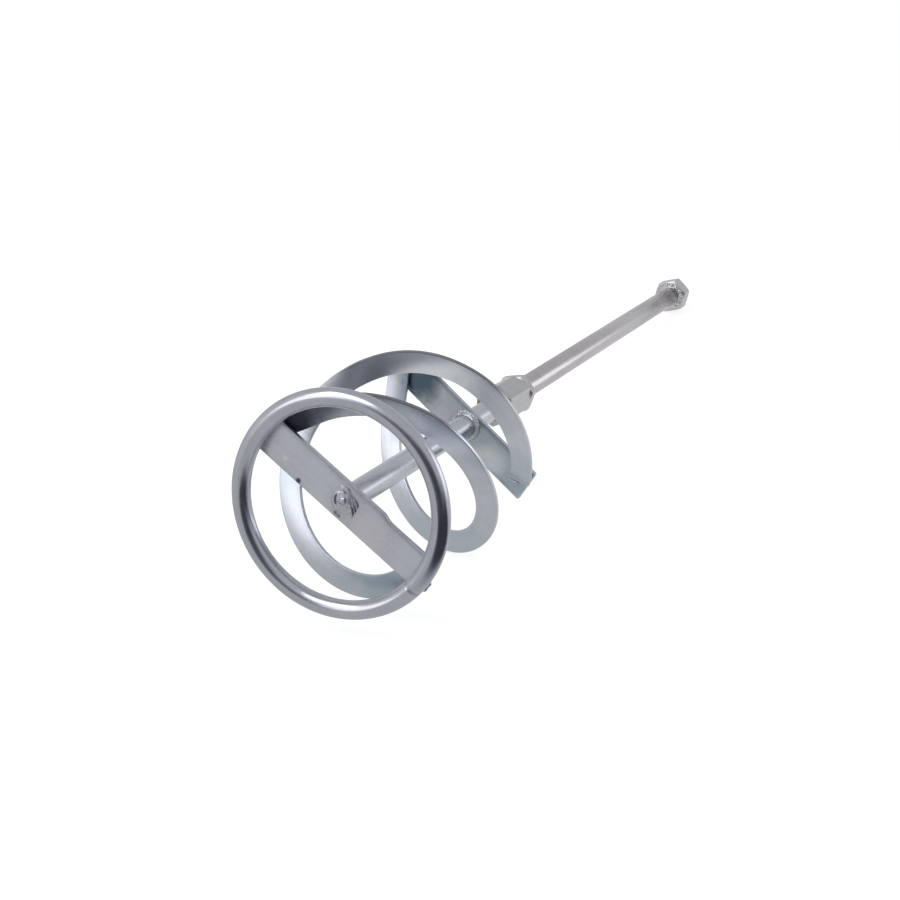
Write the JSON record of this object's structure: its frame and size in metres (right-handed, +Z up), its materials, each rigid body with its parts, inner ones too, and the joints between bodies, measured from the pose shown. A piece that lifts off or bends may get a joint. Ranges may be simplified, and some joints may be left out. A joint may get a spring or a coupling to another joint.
{
  "type": "mortar mixing paddle",
  "caption": "Zinc-plated mortar mixing paddle: a front ring and helical ribbon blades welded to a round shaft, with a screw-on extension and a hexagon drive nut.",
  "frame": {"origin": "middle of the footprint, on the ground plane under the ring, with the shaft's axis level 60 mm above it", "axes": "+Y along the shaft from the ring to the drive end, +X to the right when the ring is looked at from the front, +Z up"},
  "size_m": [0.1199, 0.5764, 0.12],
  "materials": {
    "bright_zinc": "bright electroplated zinc on smooth drawn rod",
    "satin_zinc": "electroplated zinc on rolled steel, slightly cloudy",
    "warm_zinc": "electroplated zinc on hexagon bar, slightly warm",
    "weld_steel": "plated weld bead, rippled and darker than the sheet"
  },
  "bodies": {
    "mixing_head": {"bottom_ring": "bright_zinc", "ring_seam_weld": "weld_steel", "front_crossbar": "satin_zinc", "rear_crossbar": "satin_zinc", "front_bar_weld_right": "weld_steel", "front_bar_weld_left": "weld_steel", "lower_shaft": "satin_zinc", "blade_a": "satin_zinc", "blade_a_front_weld": "weld_steel", "blade_a_rear_weld": "weld_steel", "blade_b": "satin_zinc", "blade_b_front_weld": "weld_steel", "blade_b_rear_weld": "weld_steel", "front_hub_weld": "weld_steel", "front_hub_back_weld": "weld_steel", "rear_hub_weld": "weld_steel", "rear_hub_back_weld": "weld_steel", "coupling_weld": "weld_steel", "coupling_nut": "warm_zinc"},
    "jam_nut": {"jam_nut": "warm_zinc"},
    "extension": {"upper_shaft": "satin_zinc"},
    "drive_nut": {"drive_nut": "satin_zinc"}
  },
  "joints": [
    {"name": "extension_advance", "type": "slide", "parent": "mixing_head", "child": "jam_nut", "axis": [0, 1, 0], "range_m": [0, 0.015]},
    {"name": "extension_turn", "type": "hinge", "parent": "jam_nut", "child": "extension", "pos_m": [0, -0.04408, 0.06], "axis": [0, 1, 0], "range_deg": [0, 2701]},
    {"name": "drive_nut_run", "type": "slide", "parent": "extension", "child": "drive_nut", "axis": [0, 1, 0], "range_m": [0, 0.005]}
  ],
  "couplings": [
    {"joint": "extension_turn", "follows": "extension_advance", "rad_per_m": 3141.6}
  ]
}
